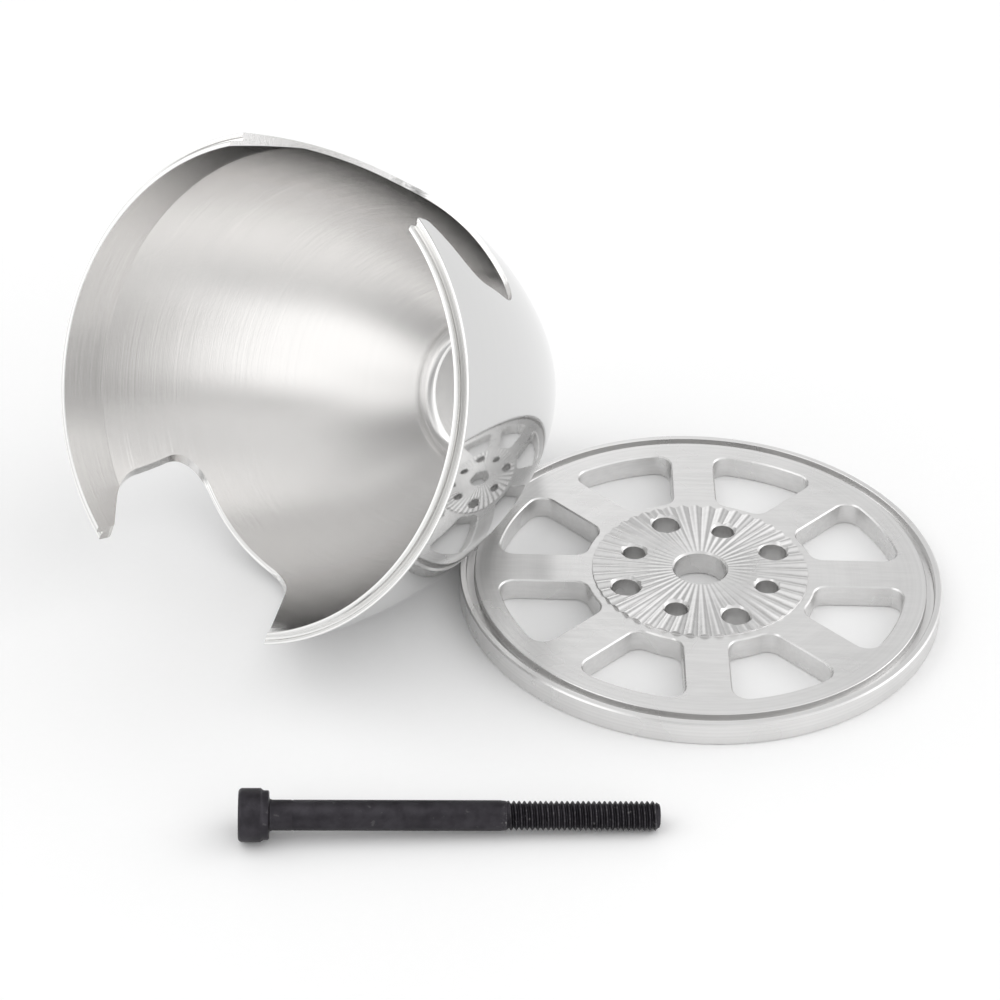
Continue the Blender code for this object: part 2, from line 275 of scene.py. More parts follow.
def local_axes(start, place):
    """Object coordinates seen in a piece's own frame: x, y, z and the distance from its axis."""
    where = start.node("ShaderNodeTexCoord", out="Object")
    turn = place.to_euler()
    mapped = start.node(
        "ShaderNodeMapping",
        {"vector_type": "TEXTURE"},
        {"Vector": where, "Location": place.translation, "Rotation": (turn.x, turn.y, turn.z)},
    )
    x = start.node("ShaderNodeSeparateXYZ", None, {0: mapped})
    y = x.other("Y")
    z = x.other("Z")
    radius = (x * x + y * y) ** 0.5
    return mapped, x, y, z, radius


def scaled(tint, factor):
    """A colour made darker or lighter."""
    return tuple(value * factor for value in tint)


def combine(start, x, y, z):
    """A vector from three wires or numbers."""
    return start.node("ShaderNodeCombineXYZ", None, {"X": x, "Y": y, "Z": z})


def bumped(start, height, distance):
    """The surface normal, tilted by a height in metres times a wire."""
    return start.node("ShaderNodeBump", None, {"Height": height, "Distance": distance, "Strength": 1.0})


def new_metal(name):
    """A material with one Principled shader and a wire to build from."""
    material = bpy.data.materials.new(name)
    material.use_nodes = True
    shader = material.node_tree.nodes["Principled BSDF"]
    shader.inputs["Metallic"].default_value = 1.0
    return material, Wire(material.node_tree), shader


def feed(shader, **sockets):
    """Link wires or set values on a shader's sockets."""
    for key, value in sockets.items():
        socket = shader.inputs[key.replace("_", " ")]
        if isinstance(value, Wire):
            value.tree.links.new(value.socket, socket)
        elif isinstance(value, tuple):
            socket.default_value = (*value, 1.0)
        else:
            socket.default_value = value


def machined_aluminium(tint, place):
    """Turned and milled aluminium: fine rings round the axis, milling streaks and soft mottling."""
    material, start, shader = new_metal("machined_aluminium")
    mapped, x, y, z, radius = local_axes(start, place)
    rings = noise(combine(start, radius, z, 0.0), 3200.0, 3.0, 0.65)
    coarse_rings = noise(combine(start, radius, z, 0.0), 700.0, 2.0)
    streaks = noise(combine(start, x * 0.12, y, z), 1500.0, 3.0, 0.6)
    cloud = noise(mapped, 90.0, 3.0)
    on_rim = radius.ramp(0.0295, 0.0325)
    ring_share = 0.25 + 0.4 * on_rim
    lines = rings * ring_share + streaks * (0.75 - ring_share) + coarse_rings * 0.25
    shade = cloud.ramp(0.35, 0.7) * 0.45 + lines.ramp(0.36, 0.64) * 0.55
    darker = scaled(tint, 0.87)
    feed(
        shader,
        Base_Color=mix_colours(shade, darker, tint),
        Roughness=0.22 + cloud * 0.12,
        Normal=bumped(start, lines, 0.0000045),
    )
    return material


def polished_aluminium(tint, place):
    """Mirror-polished aluminium with faint turning lines, haze and hairlines."""
    material, start, shader = new_metal("polished_aluminium")
    mapped, x, y, z, radius = local_axes(start, place)
    rings = noise(combine(start, radius, z, 0.0), 1800.0, 2.0, 0.6)
    haze = noise(mapped, 130.0, 3.0)
    hair = noise(combine(start, x * 0.2, y, z), 5200.0, 2.0, 0.7)
    hazy = haze.ramp(0.45, 0.8)
    darker = scaled(tint, 0.965)
    feed(
        shader,
        Base_Color=mix_colours(rings, darker, tint),
        Roughness=0.045 + hazy * 0.04 + hair * 0.02,
        Normal=bumped(start, rings + hair * 0.2, 0.0000004),
    )
    return material


def turned_aluminium(tint, place):
    """Fine-turned aluminium: close rings that smear reflections along the cone's length."""
    material, start, shader = new_metal("turned_aluminium")
    mapped, _, _, z, radius = local_axes(start, place)
    along = combine(start, radius * 0.3, z, 0.0)
    rings = noise(along, 7000.0, 2.0, 0.7)
    coarse_rings = noise(along, 1300.0, 2.0, 0.6)
    cloud = noise(mapped, 60.0, 2.0)
    darker = scaled(tint, 0.94)
    feed(
        shader,
        Base_Color=mix_colours(rings * 0.5 + coarse_rings * 0.5, darker, tint),
        Roughness=0.11 + cloud * 0.05,
        Normal=bumped(start, rings + coarse_rings * 0.6, 0.000024),
    )
    return material


def bright_edge(tint, place):
    """Freshly cut aluminium on the cone's rim and cut-out edges."""
    material, start, shader = new_metal("cut_edge_aluminium")
    mapped, _, _, z, radius = local_axes(start, place)
    rings = noise(combine(start, radius, z, 0.0), 4200.0, 2.0, 0.6)
    cloud = noise(mapped, 260.0, 2.0)
    darker = scaled(tint, 0.78)
    feed(
        shader,
        Base_Color=mix_colours(rings.ramp(0.42, 0.58), darker, tint),
        Roughness=0.16 + cloud * 0.1,
        Normal=bumped(start, rings, 0.0000022),
    )
    return material


def black_oxide(tint, place, thread_start):
    """Black oxide on steel: a satin near-black with scuffs and worn thread crests."""
    material, start, shader = new_metal("black_oxide_steel")
    mapped, x, y, z, radius = local_axes(start, place)
    cloud = noise(mapped, 420.0, 4.0, 0.6)
    grain = noise(mapped, 3800.0, 3.0, 0.65)
    drawn = noise(combine(start, x, y, z * 0.12), 2600.0, 2.0, 0.6)
    fleck = noise(mapped, 1150.0, 2.0, 0.5).ramp(0.66, 0.74)
    threaded = z.ramp(thread_start - 0.001, thread_start + 0.001)
    crest = radius.ramp(0.00184, 0.00194) * threaded
    worn = fleck * (0.12 + 0.45 * threaded) + crest * grain.ramp(0.45, 0.7) * 0.35
    dark = mix_colours(cloud.ramp(0.3, 0.7), scaled(tint, 0.8), scaled(tint, 1.3))
    feed(
        shader,
        Base_Color=mix_colours(worn, dark, (0.33, 0.32, 0.32)),
        Roughness=0.34 + cloud * 0.16 + grain * 0.08,
        Normal=bumped(start, grain + drawn * 0.6, 0.000006),
    )
    return material


def pale_floor(tint):
    """Plain pale studio floor with a faint paper tooth."""
    material, start, shader = new_metal("studio_floor")
    where = start.node("ShaderNodeTexCoord", out="Object")
    tooth = noise(where, 900.0, 2.0)
    feed(
        shader,
        Base_Color=mix_colours(tooth, scaled(tint, 0.985), tint),
        Metallic=0.0,
        Roughness=0.9,
    )
    return material


# ---------------------------------------------------------------------------------------------------------
# Geometry node trees
# ---------------------------------------------------------------------------------------------------------


def new_geometry_tree(name, inputs):
    """A geometry tree with a mesh input and named number inputs; returns its wires and a closer that ends
    the tree and returns it.
    """
    tree = bpy.data.node_groups.new(name, "GeometryNodeTree")
    tree.interface.new_socket("Geometry", in_out="INPUT", socket_type="NodeSocketGeometry")
    for label, kind in inputs:
        tree.interface.new_socket(label, in_out="INPUT", socket_type=kind)
    tree.interface.new_socket("Geometry", in_out="OUTPUT", socket_type="NodeSocketGeometry")
    start = Wire(tree).node("NodeGroupInput")
    wires = {label: start.other(label) for label, kind in inputs}
    wires["Geometry"] = start.other("Geometry")

    def close(result):
        """End the tree: instances made real, and the material set."""
        real = result.node("GeometryNodeRealizeInstances", None, {0: result})
        sockets = {"Geometry": real, "Material": wires["Material"]}
        painted = real.node("GeometryNodeSetMaterial", None, sockets)
        painted.node("NodeGroupOutput", None, {0: painted})
        return tree

    return wires, close


def ring_tree():
    """Copies of a tool spaced round the Z axis."""
    wires, close = new_geometry_tree(
        "Ring of copies",
        [
            ("Copies", "NodeSocketInt"),
            ("Start angle", "NodeSocketFloat"),
            ("Material", "NodeSocketMaterial"),
        ],
    )
    start = wires["Geometry"]
    points = start.node(
        "GeometryNodeMeshLine", None, {"Count": wires["Copies"], "Offset": (0.0, 0.0, 0.0)}
    )
    index = start.node("GeometryNodeInputIndex")
    turn = index * TURN / wires["Copies"] + wires["Start angle"]
    rotation = start.node("ShaderNodeCombineXYZ", None, {"Z": turn})
    copies = start.node(
        "GeometryNodeInstanceOnPoints", None, {"Points": points, "Instance": start, "Rotation": rotation}
    )
    return close(copies)


def moved_by_rule(start, direction, amount):
    """Geometry with each point moved along a direction by an amount."""
    offset = start.node("ShaderNodeVectorMath", {"operation": "SCALE"}, {0: direction, "Scale": amount})
    return start.node("GeometryNodeSetPosition", None, {"Geometry": start, "Offset": offset})


def ridge_tree():
    """Radial ridges pressed into a flat hub: none at the bore, full depth at the rim."""
    wires, close = new_geometry_tree(
        "Radial ridges",
        [
            ("Ridges", "NodeSocketInt"),
            ("Depth", "NodeSocketFloat"),
            ("Inner radius", "NodeSocketFloat"),
            ("Outer radius", "NodeSocketFloat"),
            ("Top", "NodeSocketFloat"),
            ("Material", "NodeSocketMaterial"),
        ],
    )
    start = wires["Geometry"]
    position = start.node("GeometryNodeInputPosition")
    x = start.node("ShaderNodeSeparateXYZ", None, {0: position})
    y = x.other("Y")
    z = x.other("Z")
    radius = (x * x + y * y) ** 0.5
    turn = start.maths("ARCTAN2", y, x)
    wave = 0.5 - 0.5 * start.maths("COSINE", turn * wires["Ridges"])
    sharp = wave ** 1.25
    reach = radius.node(
        "ShaderNodeMapRange",
        None,
        {"Value": radius, "From Min": wires["Inner radius"], "From Max": wires["Outer radius"]},
    )
    on_top = start.maths("GREATER_THAN", z, wires["Top"] - 0.00001)
    sink = sharp * reach * wires["Depth"] * on_top
    return close(moved_by_rule(start, (0.0, 0.0, -1.0), sink))


def thread_tree():
    """A right-hand thread cut into a plain bar along Z, running out at its start."""
    wires, close = new_geometry_tree(
        "Cut thread",
        [
            ("Pitch", "NodeSocketFloat"),
            ("Depth", "NodeSocketFloat"),
            ("Start", "NodeSocketFloat"),
            ("End", "NodeSocketFloat"),
            ("Material", "NodeSocketMaterial"),
        ],
    )
    start = wires["Geometry"]
    position = start.node("GeometryNodeInputPosition")
    x = start.node("ShaderNodeSeparateXYZ", None, {0: position})
    y = x.other("Y")
    z = x.other("Z")
    radius = (x * x + y * y) ** 0.5
    turn = start.maths("ARCTAN2", y, x)
    phase = start.maths("FRACT", z / wires["Pitch"] - turn / TURN)
    flank = start.maths("ABSOLUTE", phase - 0.5) * 2.0
    slope = {"Value": flank, "From Min": 0.12, "From Max": 0.88}
    groove = 1.0 - flank.node("ShaderNodeMapRange", None, slope)
    begins = z.ramp(wires["Start"], wires["Start"] + wires["Pitch"])
    ends = 1.0 - start.maths("GREATER_THAN", z, wires["End"])
    outside = start.maths("GREATER_THAN", radius, 0.0012)
    sink = groove * begins * ends * outside * wires["Depth"]
    outward = start.node("ShaderNodeVectorMath", {"operation": "NORMALIZE"}, {0: combine(start, x, y, 0.0)})
    return close(moved_by_rule(start, outward, 0.0 - sink))


def apply_tree(item, tree, material, **values):
    """Run a geometry tree on an object and keep the result as its plain mesh."""
    modifier = item.modifiers.new(tree.name, "NODES")
    modifier.node_group = tree
    identifiers = {
        socket.name: socket.identifier
        for socket in tree.interface.items_tree
        if socket.item_type == "SOCKET" and socket.in_out == "INPUT"
    }
    modifier[identifiers["Material"]] = material
    for label, value in values.items():
        modifier[identifiers[label.replace("_", " ")]] = value
    keep_result(item)


# ---------------------------------------------------------------------------------------------------------
# Mesh tools
# ---------------------------------------------------------------------------------------------------------


def link(name, mesh):
    """An object for a mesh, in the scene."""
    item = bpy.data.objects.new(name, mesh)
    bpy.context.scene.collection.objects.link(item)
    return item


def turned(name, profile, steps):
    """A body of revolution about Z. The profile runs from the top down the outside; it closes on itself
    unless both its ends lie on the axis."""
    capped = profile[0][0] == 0.0 and profile[-1][0] == 0.0
    shape = bmesh.new()
    rings = []
    for radius, height in profile:
        if radius == 0.0:
            rings.append([shape.verts.new((0.0, 0.0, height))] * steps)
            continue
        turns = [TURN * k / steps for k in range(steps)]
        rings.append([shape.verts.new((radius * math.cos(a), radius * math.sin(a), height)) for a in turns])
    pairs = list(zip(rings, rings[1:]))
    if not capped:
        pairs.append((rings[-1], rings[0]))
    for upper, lower in pairs:
        for k in range(steps):
            after = (k + 1) % steps
            corners = [upper[k], lower[k], lower[after], upper[after]]
            kept = [corner for i, corner in enumerate(corners) if corner is not corners[i - 1]]
            shape.faces.new(kept)
    mesh = bpy.data.meshes.new(name)
    shape.to_mesh(mesh)
    shape.free()
    return link(name, mesh)


def loft(name, loops):
    """A closed solid through loops of equal length, listed from the bottom up, each counter-clockwise."""
    shape = bmesh.new()
    rings = [[shape.verts.new(point) for point in loop] for loop in loops]
    count = len(rings[0])
    for lower, upper in zip(rings, rings[1:]):
        for k in range(count):
            after = (k + 1) % count
            shape.faces.new((lower[k], lower[after], upper[after], upper[k]))
    shape.faces.new(list(reversed(rings[0])))
    shape.faces.new(rings[-1])
    bmesh.ops.recalc_face_normals(shape, faces=shape.faces)
    mesh = bpy.data.meshes.new(name)
    shape.to_mesh(mesh)
    shape.free()
    return link(name, mesh)


def keep_result(item):
    """Replace an object's mesh by its evaluated mesh and drop its modifiers."""
    bpy.context.view_layer.update()
    depsgraph = bpy.context.evaluated_depsgraph_get()
    mesh = bpy.data.meshes.new_from_object(item.evaluated_get(depsgraph))
    item.modifiers.clear()
    item.data = mesh
    mesh.name = item.name


def cut(target, tool):
    """Subtract a tool from a target and throw the tool away."""
    boolean = target.modifiers.new("cut", "BOOLEAN")
    boolean.operation = "DIFFERENCE"
    boolean.solver = "MANIFOLD"
    boolean.object = tool
    keep_result(target)
    bpy.data.objects.remove(tool, do_unlink=True)
    if len(target.data.polygons) < 8:
        raise RuntimeError(f"cutting {target.name} left nothing")


def smooth_by_angle(mesh, limit):
    """Smooth faces, with sharp edges where two faces meet at more than the limit."""
    shape = bmesh.new()
    shape.from_mesh(mesh)
    bmesh.ops.remove_doubles(shape, verts=shape.verts, dist=0.0000004)
    for face in shape.faces:
        face.smooth = True
    for edge in shape.edges:
        edge.smooth = len(edge.link_faces) == 2 and edge.calc_face_angle(0.0) < limit
    shape.to_mesh(mesh)
    shape.free()


def place_piece(item, place):
    """Move a piece's points to its place, so that the object stays at the origin."""
    item.data.transform(place)
    item.data.update()


def hand_over(item, body, node):
    """Give a finished piece to the frame in place of its CAD node."""
    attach(item, body)
    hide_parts(node)


def arc(centre, radius, first, last, count):
    """Points of an arc, from one angle to another in degrees."""
    angles = [math.radians(first + (last - first) * k / (count - 1)) for k in range(count)]
    return [(centre[0] + radius * math.cos(a), centre[1] + radius * math.sin(a)) for a in angles]


def swung(centre, radius, start, end, count):
    """Points of an arc about a complex centre, from one point's direction to another's the short way."""
    first = (start - centre) / abs(start - centre)
    ratio = (end - centre) / (start - centre)
    sweep = math.atan2(ratio.imag, ratio.real)
    steps = [sweep * k / (count - 1) for k in range(count)]
    return [centre + radius * first * complex(math.cos(a), math.sin(a)) for a in steps]


# ---------------------------------------------------------------------------------------------------------
# Backplate
# ---------------------------------------------------------------------------------------------------------


def backplate_profile(size):
    """Blank of the backplate: ridged hub, flat face, groove, ledge, wall and rear face."""
    top = size.ledge_height
    edge = size.edge
    floor = top - size.groove_depth
    hub = [size.hub_radius - (size.hub_radius - size.bore - size.bore_edge) * k / 6 for k in range(7)]
    return [
        (size.hub_radius, size.hub_height),
        (size.hub_radius + 0.00002, top + 0.00004),
        (size.hub_radius + 0.00006, top),
        (size.face_radius - 0.4 * edge, top),
        (size.face_radius, top - 0.4 * edge),
        (size.face_radius, floor + 0.0001),
        (size.face_radius + 0.0001, floor),
        (size.ledge_inner - 0.0001, floor),
        (size.ledge_inner, floor + 0.0001),
        (size.ledge_inner, top - 0.3 * edge),
        (size.ledge_inner + 0.3 * edge, top),
        (size.radius - edge, top),
        (size.radius, top - edge),
        (size.radius, edge),
        (size.radius - edge, 0.0),
        (size.bore + size.bore_edge, 0.0),
        (size.bore, size.bore_edge),
        (size.bore, size.hub_height - size.bore_edge),
        (size.bore + size.bore_edge, size.hub_height),
    ] + [(radius, size.hub_height) for radius in hub[-2:0:-1]]


def window_points(size, grow):
    """Outline of the window beside the spoke on +X, grown outwards by a distance."""
    corner = size.window_corner + grow
    offset = size.spoke_width / 2 + size.window_corner
    inner_reach = size.window_inner + size.window_corner
    outer_reach = size.window_outer - size.window_corner
    inner = complex(math.sqrt(inner_reach ** 2 - offset ** 2), offset)
    outer = complex(math.sqrt(outer_reach ** 2 - offset ** 2), offset)
    below = complex(0.0, -1.0)
    near = swung(inner, corner, inner * (1 - corner / inner_reach), inner + corner * below, 9)
    near += swung(outer, corner, outer + corner * below, outer * (1 + corner / outer_reach), 9)
    pitch = TURN / size.spokes
    turn = complex(math.cos(pitch), math.sin(pitch))
    far = [turn * point.conjugate() for point in reversed(near)]
    outer_arc = swung(0j, size.window_outer + grow, near[-1], far[0], 24)[1:-1]
    inner_arc = swung(0j, size.window_inner - grow, far[-1], near[0], 12)[1:-1]
    return near + outer_arc + far + inner_arc


def window_tool(size):
    """Cutter for one window, flared at both faces so that it leaves chamfers."""
    top = size.ledge_height
    edge = size.window_edge
    levels = [
        (-0.001, edge + 0.001),
        (edge, 0.0),
        (top - edge, 0.0),
        (top + 0.001, edge + 0.001),
    ]
    loops = [
        [(point.real, point.imag, height) for point in window_points(size, grow)] for height, grow in levels
    ]
    return loft("window_tool", loops)


def hole_tool(name, size, radius, circle):
    """Cutter for one hub hole, flared at both faces."""
    edge = size.hole_edge
    top = size.hub_height - 0.45 * size.ridge_depth
    levels = [
        (-0.001, radius + edge + 0.001),
        (edge, radius),
        (top - edge, radius),
        (top + 0.001, radius + edge + 0.001),
    ]
    loops = [
        [(circle + x, y, height) for x, y in arc((0, 0), reach, 0, 352.5, 48)] for height, reach in levels
    ]
    return loft(name, loops)


def build_backplate(size, finishes):
    """Turn the blank, press the ridges, cut the windows and holes, and hand the disc over."""
    place = Matrix.Translation(PLATE_CENTRE)
    metal = machined_aluminium(tuple(finishes.machined), place)
    plate = turned("backplate_disc", backplate_profile(size), size.ridges * 8)
    apply_tree(
        plate,
        ridge_tree(),
        metal,
        Ridges=size.ridges,
        Depth=size.ridge_depth,
        Inner_radius=size.bore + size.bore_edge,
        Outer_radius=size.hub_radius,
        Top=size.hub_height,
    )
    ring = ring_tree()
    for tool, copies, first in (
        (window_tool(size), size.spokes, 0.0),
        (hole_tool("large_hole_tool", size, size.large_hole, size.large_circle), 4, size.large_angle),
        (hole_tool("small_hole_tool", size, size.small_hole, size.small_circle), 4, size.small_angle),
    ):
        apply_tree(tool, ring, metal, Copies=copies, Start_angle=first)
        cut(plate, tool)
    plate.data.materials.clear()
    plate.data.materials.append(metal)
    place_piece(plate, place)
    smooth_by_angle(plate.data, math.radians(28))
    hand_over(plate, "backplate", "backplate")


# ---------------------------------------------------------------------------------------------------------
# Spinner cone
# ---------------------------------------------------------------------------------------------------------


def ogive_offset(size):
    """Distance from the cone's axis out to the side arc's centre, on the far side."""
    return math.sqrt(size.ogive ** 2 - size.setback ** 2) - size.radius


def ogive_at(size, height, depth=0.0):
    """Radius of the cone's side at a height above the rim plane, moved in by a depth."""
    return math.sqrt((size.ogive - depth) ** 2 - (height + size.setback) ** 2) - ogive_offset(size)


NOSE_ROUND = 0.0009
ON_SURFACE = 0.00008


def cone_profile(size):
    """Profile of the shell: nose flat, outside, stepped rim, land, inside and bolt hole."""
    shoulder = size.cone_length - NOSE_ROUND
    profile = arc((ogive_at(size, shoulder) - NOSE_ROUND, shoulder), NOSE_ROUND, 90, 35, 6)
    profile += [(ogive_at(size, shoulder * (1 - k / 72)), shoulder * (1 - k / 72)) for k in range(72)]
    break_edge = 0.00006
    profile += [
        (size.radius, break_edge),
        (size.radius - break_edge, 0.0),
        (size.relief_radius + break_edge, 0.0),
        (size.relief_radius, break_edge),
        (size.relief_radius - 0.00008, size.relief),
        (size.spigot_radius, size.relief),
        (size.spigot_radius, break_edge * 2 - size.spigot_height),
        (size.spigot_radius - break_edge * 2, -size.spigot_height),
        (size.land_radius + break_edge * 2, -size.spigot_height),
        (size.land_radius, break_edge * 2 - size.spigot_height),
        (size.land_radius, size.land),
    ]
    top = size.nose_floor - size.nose_fillet
    first = size.land + 0.0002
    profile += [
        (ogive_at(size, first + (top - first) * k / 64, size.wall), first + (top - first) * k / 64)
        for k in range(65)
    ]
    inner = ogive_at(size, top, size.wall)
    profile += arc((inner - size.nose_fillet * 1.1, top), size.nose_fillet, 20, 90, 8)
    profile += [
        (size.nose_hole + 0.0002, size.nose_floor),
        (size.nose_hole, size.nose_floor + 0.0002),
        (size.nose_hole, size.seat),
        (size.counterbore, size.seat),
        (size.counterbore, size.cone_length - 0.0002),
        (size.counterbore + 0.0002, size.cone_length),
    ]
    return profile


# Blade cut-outs in millimetres: corners as (across, along the axis, corner radius)
LOWER_CUTOUT = (
    (16.7, -6.0, 0.0),
    (16.7, 2.4, 1.5),
    (23.2, 8.3, 7.0),
    (22.9, 23.0, 5.3),
    (-1.2, 22.6, 7.5),
    (-19.2, -6.0, 0.0),
)
UPPER_CUTOUT = (
    (15.5, -6.0, 0.0),
    (15.5, 2.4, 1.5),
    (22.0, 8.3, 7.0),
    (21.8, 22.6, 5.3),
    (-1.6, 22.2, 7.5),
    (-19.7, -6.0, 0.0),
)


def cutout_outline(corner_list):
    """Outline of a blade cut-out, across and along the axis, with its corners rounded."""
    corners = [(complex(x, y) * MM, radius * MM) for x, y, radius in corner_list]
    outline = []
    for i, (corner, radius) in enumerate(corners):
        if radius == 0.0:
            outline.append(corner)
            continue
        before = corners[i - 1][0] - corner
        after = corners[(i + 1) % len(corners)][0] - corner
        before /= abs(before)
        after /= abs(after)
        middle = (before + after) / abs(before + after)
        half = math.acos((before * middle.conjugate()).real)
        centre = corner + middle * radius / math.sin(half)
        reach = radius / math.tan(half)
        outline += swung(centre, radius, corner + before * reach, corner + after * reach, 20)
    return outline


def cutout_tool(corner_list, side):
    """Cutter for one blade cut-out: the outline driven out through the wall on one side."""
    outline = cutout_outline(corner_list)
    loops = [[(side * reach, side * point.real, point.imag) for point in outline] for reach in (0.005, 0.04)]
    return loft("cutout_tool", loops)


def cone_place(size):
    """Where the cone lies on its side, with its belly on the floor."""
    sink = size.setback * math.sin(size.tilt) + ogive_offset(size) * math.cos(size.tilt)
    centre = PLATE_CENTRE + Vector((size.place[0], size.place[1], size.ogive - sink))
    heading = Matrix.Rotation(size.heading, 4, "Z")
    tilt = Matrix.Rotation(math.pi / 2 + size.tilt, 4, "Y")
    return Matrix.Translation(centre) @ heading @ tilt @ Matrix.Rotation(size.roll, 4, "Z")


def paint_cone(mesh, size):
    """Sort the faces into outside, inside and cut edges, and give the curved ones their true normals."""
    offset = ogive_offset(size)
    normals = [None] * len(mesh.loops)
    for face in mesh.polygons:
        x, y, z = face.center
        radius = math.hypot(x, y)
        swing = math.hypot(radius + offset, z + size.setback)
        facing = face.normal.dot(Vector((x, y, 0.0)).normalized()) if radius > 0.0001 else 0.0
        outside = abs(swing - size.ogive) < ON_SURFACE and facing > 0.3 and z < size.cone_length - NOSE_ROUND
        inside = abs(swing - size.ogive + size.wall) < ON_SURFACE and facing < -0.3
        inside = inside and z < size.nose_floor - 0.0016
        face.material_index = 0 if outside else 1
        if not outside and not inside:
            on_land = radius < size.land_radius + 0.0001 and -0.0008 < z < size.nose_floor + 0.0005
            face.material_index = 1 if on_land and facing < 0.3 else 2
            if abs(facing) < 0.2 and 0.0 < z < 0.03:
                face.material_index = 2
            continue
        sign = 1.0 if outside else -1.0
        for loop in face.loop_indices:
            point = mesh.vertices[mesh.loops[loop].vertex_index].co
            away = math.hypot(point.x, point.y)
            spread = (away + offset) / away
            normal = Vector((point.x * spread, point.y * spread, point.z + size.setback))
            normals[loop] = normal.normalized() * sign
    return normals


def build_cone(size, finishes):
    """Turn the shell, cut both blade cut-outs, paint it, lay it down and hand it over."""
    place = cone_place(size)
    cone = turned("spinner_cone_shell", cone_profile(size), 320)
    for corner_list, side in ((LOWER_CUTOUT, 1), (UPPER_CUTOUT, -1)):
        cut(cone, cutout_tool(corner_list, side))
    cone.data.materials.clear()
    for metal in (
        polished_aluminium(tuple(finishes.polished), place),
        turned_aluminium(tuple(finishes.satin), place),
        bright_edge(tuple(finishes.edge), place),
    ):
        cone.data.materials.append(metal)
    smooth_by_angle(cone.data, math.radians(32))
    normals = paint_cone(cone.data, size)
    split = [Vector(corner.vector) for corner in cone.data.corner_normals]
    rotation = place.to_3x3()
    merged = [rotation @ (true or old) for true, old in zip(normals, split)]
    place_piece(cone, place)
    cone.data.normals_split_custom_set(merged)
    hand_over(cone, "spinner_cone", "spinner_cone")


# ---------------------------------------------------------------------------------------------------------
# Bolt
# ---------------------------------------------------------------------------------------------------------


def bolt_profile(size):
    """Profile of the bolt from the tip down to the end of its head."""
    tip = size.shank_length
    thread_start = tip - size.thread_length
    rows = int(size.thread_length / size.pitch * 14)
    radius = size.thread_radius
    profile = [(0.0, tip), (radius - size.tip_edge - 0.00015, tip), (radius - size.tip_edge, tip - 0.00005)]
    first = tip - size.tip_edge
    profile += [(radius, first - (first - thread_start) * k / rows) for k in range(rows + 1)]
    neck = thread_start - 0.0004
    profile += [
        (size.shank_radius - 0.00003, neck),
        (size.shank_radius, neck - 0.0002),
        (size.shank_radius, 0.0032),
        (size.shank_radius - 0.00004, 0.00312),
        (size.shank_radius - 0.00004, 0.00292),
        (size.shank_radius, 0.00284),
        (size.shank_radius, 0.0004),
        (size.shank_radius + 0.0001, 0.0001),
        (size.shank_radius + 0.0004, 0.0),
    ]
    edge = size.head_edge
    low = size.head_radius - 0.0003
    profile += [
        (low - 0.0002, 0.0),
        (low, -0.00012),
        (low + 0.00002, -0.0007),
        (low + 0.00012, -0.0009),
    ]
    profile += [(size.head_radius, -0.0011), (size.head_radius, edge - size.head_height)]
    profile += arc((size.head_radius - edge, edge - size.head_height), edge, 0, -82, 7)[1:]
    profile += [(size.socket * 0.62, -size.head_height), (0.0, -size.head_height)]
    return profile


def socket_tool(size):
    """Cutter for the hexagon socket."""
    across = size.socket / 2 / math.cos(math.pi / 6)
    end = -size.head_height
    hexagon = arc((0, 0), across, 0, 300, 6)
    loops = [[(x, y, height) for x, y in hexagon] for height in (end - 0.001, end + size.socket_depth)]
    return loft("socket_tool", loops)


def mouth_tool(size):
    """Cutter for the socket's countersunk mouth and drilled floor."""
    across = size.socket / 2
    end = -size.head_height
    floor = end + size.socket_depth
    profile = [
        (0.0, floor + 0.0005),
        (across * 0.96, floor - 0.0001),
        (across * 0.96, end + 0.0003),
        (across * 1.16, end + 0.0001),
        (across * 1.35, end - 0.001),
        (0.0, end - 0.001),
    ]
    return turned("mouth_tool", profile, 48)


def bolt_place(size):
    """Where the bolt lies, on the rim of its head and the end of its thread."""
    reach = size.shank_length - size.tip_edge + 0.00025
    slope = math.atan((size.head_radius - size.thread_radius) / reach)
    height = size.head_radius * math.cos(slope) + (size.head_height - 0.00025) * math.sin(slope)
    centre = PLATE_CENTRE + Vector((size.place[0], size.place[1], height))
    heading = Matrix.Rotation(size.heading, 4, "Z")
    tilt = Matrix.Rotation(math.pi / 2 + slope, 4, "Y")
    ahead = Matrix.Translation((0.0, 0.0, size.head_height))
    return Matrix.Translation(centre) @ heading @ tilt @ ahead


def build_bolt(size, finishes):
    """Turn the bolt, cut its thread and socket, lay it down and hand it over."""
    place = bolt_place(size)
    thread_start = size.shank_length - size.thread_length
    metal = black_oxide(tuple(finishes.black), place, thread_start)
    bolt = turned("socket_head_bolt", bolt_profile(size), 80)
    apply_tree(
        bolt,
        thread_tree(),
        metal,
        Pitch=size.pitch,
        Depth=size.thread_depth,
        Start=thread_start,
        End=size.shank_length - 0.0002,
    )
    cut(bolt, socket_tool(size))
    cut(bolt, mouth_tool(size))
    bolt.data.materials.clear()
    bolt.data.materials.append(metal)
    place_piece(bolt, place)
    smooth_by_angle(bolt.data, math.radians(32))
    hand_over(bolt, "retaining_bolt", "retaining_bolt")


# ---------------------------------------------------------------------------------------------------------
# Stage
# ---------------------------------------------------------------------------------------------------------


